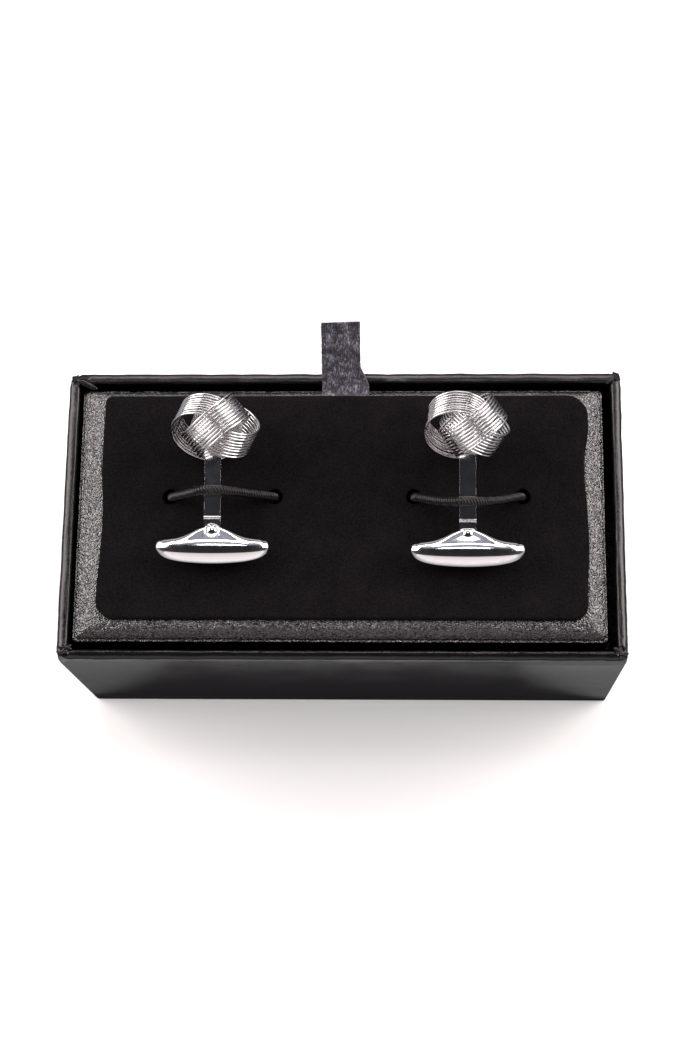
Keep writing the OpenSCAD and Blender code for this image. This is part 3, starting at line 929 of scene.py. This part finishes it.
def band(side, index):
    """One of a knot's three linked bands: nine wires side by side."""
    knot_y, knot_x, knot_turn = KNOTS[side]
    draw = random.Random(40 + 10 * index + SIDES[side])
    wires = []
    for k in range(WIRES):
        # No wire is quite as large or as level as the next
        extra, tilt = draw.uniform(-0.03, 0.03), draw.uniform(-0.5, 0.5)
        for stray in STRAY_WIRES:
            if stray[:3] == (side, index, k):
                extra, tilt = stray[3:]
        deselect_all()
        bpy.ops.mesh.primitive_torus_add(
            major_radius=(BAND_RADIUS + extra) * MM, minor_radius=WIRE_RADIUS * MM,
            major_segments=120, minor_segments=14,
            location=(0, 0, (k - (WIRES - 1) / 2) * WIRE_PITCH * MM))
        bpy.context.object.rotation_euler = (math.radians(tilt), math.radians(draw.uniform(-0.4, 0.4)), 0)
        wires.append(added("wire"))
    piece = join(wires, f"{side}_wire_band_{index}")
    turn = knot_turn - 90 + 120 * (index - 1)
    place = (link_frame(side)
             @ Matrix.Translation(Vector((knot_x, knot_y, 0)) * MM)
             @ Matrix.Rotation(math.radians(-90), 4, "X")
             @ Matrix.Rotation(math.radians(turn), 4, "Z")
             @ Matrix.Translation(Vector((BAND_OUT, 0, 0)) * MM)
             @ Matrix.Rotation(math.radians(BAND_TILT), 4, "X"))
    piece.data.transform(place)
    smooth(piece)
    finish(piece, "box", "polished_metal", WIRE_PLATE, f"{side}_band_{index}")


def shoulder(half):
    """The rounded collar across the post."""
    middle = (SHOULDER[0] + SHOULDER[1]) / 2
    deselect_all()
    bpy.ops.mesh.primitive_cylinder_add(
        vertices=32, radius=1 * MM, depth=2 * half * MM, location=(0, middle * MM, 0),
        rotation=(0, math.pi / 2, 0))
    bpy.context.object.scale = (SHOULDER_THICK / 2, (SHOULDER[1] - SHOULDER[0]) / 2, 1)
    return added("part")


def post(side):
    """The flat post, with its tongue, its shoulder and the plug inside the knot."""
    knot_y, knot_x, _ = KNOTS[side]
    plug_y = knot_y - PLUG_BELOW
    half = POST_WIDTH / 2
    tongue = TONGUE_THICK / 2
    piece = cube(side + "_flat_post", (-half, SHOULDER[0], -POST_THICK / 2),
                 (half, plug_y + POST_IN_PLUG, POST_THICK / 2))
    parts = [
        shoulder(half + SHOULDER_PAST),
        cube("part", (-half, 0, -tongue), (half, SHOULDER[0] + TONGUE_IN_SHOULDER, tongue)),
        cylinder("part", half, (0, 0, -tongue), (0, 0, tongue), 64),
        cylinder("part", PLUG_RADIUS, (knot_x, plug_y, 0), (knot_x, knot_y + PLUG_ABOVE, 0), 64)]
    for part in parts:
        carve(piece, part, "UNION")
    carve(piece, cylinder("cutter", PIN_RADIUS + PIN_ROOM, (0, 0, -2), (0, 0, 2)))
    smooth(piece)
    modify(piece, "BEVEL", width=POST_EDGE_RADIUS * MM, segments=4, limit_method="ANGLE",
           angle_limit=math.radians(50), harden_normals=True)
    piece.data.transform(link_frame(side))
    finish(piece, "box", "polished_metal", PLATE, side + "_post")


def toggle_section(at):
    """Points (y, z) of the toggle's upper half at a distance from its middle, from front to back."""
    front, back = read_off(TOGGLE_FRONT, at), read_off(TOGGLE_BACK, at)
    half, ridge = read_off(TOGGLE_HALF, at), read_off(TOGGLE_RIDGE, at)
    crest = TOGGLE_BACK[-1][1]
    hump = 1 - ease((at - HUMP_FROM) / HUMP_OVER)
    points = [(front + (crest - front) * u, half * w) for u, w in FRONT_STRETCH]
    stretches = [(crest, ridge, CREST_STRETCH), (ridge, back, FACE_STRETCH)]
    for start, end, stretch in stretches:
        for u, w in stretch:
            y = start + (end - start) * u
            round_over = math.sqrt(max(0, 1 - ((y - crest) / (back - crest or 1)) ** 2))
            points.append((y, half * (hump * w + (1 - hump) * round_over)))
    return points


def toggle(side):
    """The bullet toggle: a barrel whose back swells into a thinner hump that carries the rivet."""
    deselect_all()
    # Fine enough for the ridge to run as a clean line
    bpy.ops.mesh.primitive_uv_sphere_add(
        segments=162, ring_count=220, radius=1, rotation=(0, math.pi / 2, 0))
    piece = added(side + "_bullet_toggle")
    sections = {}
    for vertex in piece.data.vertices:
        x, y, z = vertex.co
        at = round(min(abs(x), 1) * TOGGLE_LENGTH_HALF, 5)
        if at not in sections:
            sections[at] = smooth_curve([(y2, z2, 0) for y2, z2 in toggle_section(at)], 16)
        curve = sections[at]
        share = math.acos(min(max(-y / (math.hypot(y, z) or 1), -1), 1)) / math.pi
        place = share * (len(curve) - 1)
        k = min(int(place), len(curve) - 2)
        point = curve[k].lerp(curve[k + 1], place - k)
        if math.hypot(y, z) < 1e-6:
            point = Vector((TOGGLE_BACK[-1][1], 0, 0))
        vertex.co = Vector((x * TOGGLE_LENGTH_HALF, point.x, math.copysign(max(point.y, 0), z))) * MM
    carve(piece, cube("cutter", (-12, -SLOT_BOTTOM, -SLOT_WIDTH / 2), (12, 5, SLOT_WIDTH / 2)))
    piece.data.transform(link_frame(side))
    smooth(piece, 65)
    finish(piece, side + "_toggle", "polished_metal", PLATE, side + "_toggle")


def rivet(side):
    """The rivet's pin, with a domed head at each end."""
    half = RIVET_LENGTH / 2
    dome = [(radius, 0, half + up) for radius, up in RIVET_DOME]
    points = smooth_curve(dome + [(x, y, -z) for x, y, z in reversed(dome)], 3)
    deselect_all()
    bpy.ops.mesh.primitive_circle_add(vertices=len(points), radius=1 * MM)
    piece = added(side + "_domed_rivet")
    for vertex, corner in zip(piece.data.vertices, points):
        vertex.co = Vector((max(corner.x, 0), 0, corner.z)) * MM
    pick(piece, "edges", lambda e: max(abs(v.co.x) for v in e.verts) < 1e-7)
    bpy.ops.mesh.delete(type="EDGE")
    pick(piece, "edges", lambda e: True)
    bpy.ops.mesh.spin(steps=48, angle=2 * math.pi, center=(0, 0, 0), axis=(0, 0, 1))
    bpy.ops.mesh.select_all(action="SELECT")
    bpy.ops.mesh.remove_doubles(threshold=2e-6)
    bpy.ops.mesh.normals_make_consistent(inside=False)
    deselect_all()
    if side == "left":
        radius, thick, past, tilt = RING
        rings = []
        for up in (-1, 1):
            deselect_all()
            bpy.ops.mesh.primitive_torus_add(
                major_radius=radius * MM, minor_radius=thick * MM, major_segments=48, minor_segments=12,
                location=(0, 0, up * (half + past) * MM), rotation=(-up * math.radians(tilt), 0, 0))
            rings.append(added("ring"))
        piece = join([piece] + rings, side + "_domed_rivet")
    piece.data.transform(link_frame(side))
    smooth(piece)
    finish(piece, side + "_toggle", "polished_metal", PLATE, side + "_rivet")


# Stage, camera and light, in metres and degrees

CAMERA_PLACE = (0.0119, -0.0785, 0.3138)
# Azimuth, elevation and roll
CAMERA_ANGLES = (-8.01, 74.45, -7.69)
CAMERA_LENS = 66

# Light from all round, at heights from -1 below to 1 above
SKY_LOWEST = (0.03, 0.028, 0.03, 1)
SKY = [(-0.85, 0.04), (-0.5, 0.09), (-0.3, 0.28), (-0.05, 0.62), (0.1, 0.42), (0.4, 0.08), (0.82, 0.022)]
SKY_HIGHEST = (0.02, 0.021, 0.026, 1)

# Softboxes: name, azimuth and elevation seen from the box, distance, size, radiance, tint
SOFTBOXES = [
    ("front_softbox", (0, 18), 0.75, (1.4, 0.5), 0.7, "#ffeff0"),
    ("back_strip", (180, 37), 0.8, (0.9, 0.15), 8, "#fff7f3"),
    ("back_panel", (180, 60), 0.8, (0.9, 0.3), 0.5, "#c9cfe0"),
    ("top_softbox", (180, 77), 0.8, (0.32, 0.1), 6, "#ffffff"),
    ("left_softbox", (-108, 30), 0.65, (0.5, 0.45), 6.6, "#fff5f1"),
    ("right_softbox", (108, 30), 0.65, (0.5, 0.45), 7, "#fff5f1")]
# What they look at
SUBJECT = Vector((0, 0, 0.04))
# Lit cards on the board, mirrored by the front wall: name, x, y, size, radiance, shape
CARDS = [
    ("front_card", 0, -0.049, (0.16, 0.034), 0.85, "RECTANGLE"),
    ("left_card", -0.06, -0.031, (0.06, 0.02), 0.2, "ELLIPSE"),
    ("right_card", 0.057, -0.031, (0.06, 0.02), 0.26, "ELLIPSE")]
CARD_HEIGHT = 0.0005


def photo_camera():
    """The camera where the photograph was taken from."""
    azimuth, elevation, roll = (math.radians(a) for a in CAMERA_ANGLES)
    flat = math.cos(elevation)
    view = Vector((math.sin(azimuth) * flat, math.cos(azimuth) * flat, -math.sin(elevation)))
    level = Vector((math.cos(azimuth), -math.sin(azimuth), 0))
    up = level.cross(view)
    right = math.cos(roll) * level + math.sin(roll) * up
    top = -math.sin(roll) * level + math.cos(roll) * up
    turned = Matrix((right, top, -view)).transposed().to_4x4()
    data = bpy.data.cameras.new("camera")
    data.sensor_fit = "VERTICAL"
    data.sensor_height = 36
    data.lens = CAMERA_LENS
    data.clip_start = 0.01
    camera = bpy.data.objects.new("camera", data)
    camera.matrix_world = Matrix.Translation(CAMERA_PLACE) @ turned
    bpy.context.scene.collection.objects.link(camera)
    bpy.context.scene.camera = camera


def panel(name, place, facing, size, radiance, tint="#ffffff", shape="RECTANGLE"):
    """An area light at a place that faces along a direction, hidden from the camera itself."""
    data = bpy.data.lights.new(name, "AREA")
    data.shape = shape
    data.size, data.size_y = size
    # An ellipse has less area than the rectangle round it
    data.energy = radiance * math.pi * size[0] * size[1] * (1 if shape == "RECTANGLE" else math.pi / 4)
    data.color = linear(tint)[:3]
    lamp = bpy.data.objects.new(name, data)
    lamp.location = place
    lamp.rotation_euler = (-Vector(facing)).to_track_quat("Z", "Y").to_euler()
    lamp.visible_camera = False
    bpy.context.scene.collection.objects.link(lamp)


def stage():
    """The board that the box stands on, the light from all round and the lamps."""
    deselect_all()
    bpy.ops.mesh.primitive_plane_add(size=6, location=(0, 0, -0.0001))
    floor = added("floor")
    # The board doesn't show in the polished parts
    floor.visible_glossy = False
    floor.data.materials.append(new_material("matt_white_board", matt_white_board))
    world = bpy.data.worlds.new("studio")
    bpy.context.scene.world = world
    world.use_nodes = True
    tree = world.node_tree
    way = add(tree, "ShaderNodeTexCoord").outputs["Generated"]
    height = add(tree, "ShaderNodeSeparateXYZ", links={0: way})
    share = add(tree, "ShaderNodeMapRange", {"From Min": -1}, {"Value": height.outputs["Z"]})
    between = [((z + 1) / 2, (light, light, light * 1.04, 1)) for z, light in SKY]
    sky = ramp(tree, share.outputs[0], (0, SKY_LOWEST), *between, (1, SKY_HIGHEST))
    tree.links.new(sky, tree.nodes["Background"].inputs["Color"])
    tree.nodes["Background"].inputs["Strength"].default_value = 1
    for name, direction, distance, size, radiance, tint in SOFTBOXES:
        azimuth, elevation = (math.radians(a) for a in direction)
        flat = math.cos(elevation)
        away = Vector((math.sin(azimuth) * flat, -math.cos(azimuth) * flat, math.sin(elevation)))
        panel(name, SUBJECT + away * distance, -away, size, radiance, tint)
    for name, x, y, size, radiance, shape in CARDS:
        panel(name, (x, y, CARD_HEIGHT), (0, 0, 1), size, radiance, shape=shape)


bpy.context.scene.view_settings.view_transform = "Standard"
photo_camera()
stage()
covered_tray()
covered_insert()
velvet_pad()
ribbon()
for side in SIDES:
    elastic(side)
    for index in (1, 2, 3):
        band(side, index)
    post(side)
    toggle(side)
    rivet(side)

deselect_all()
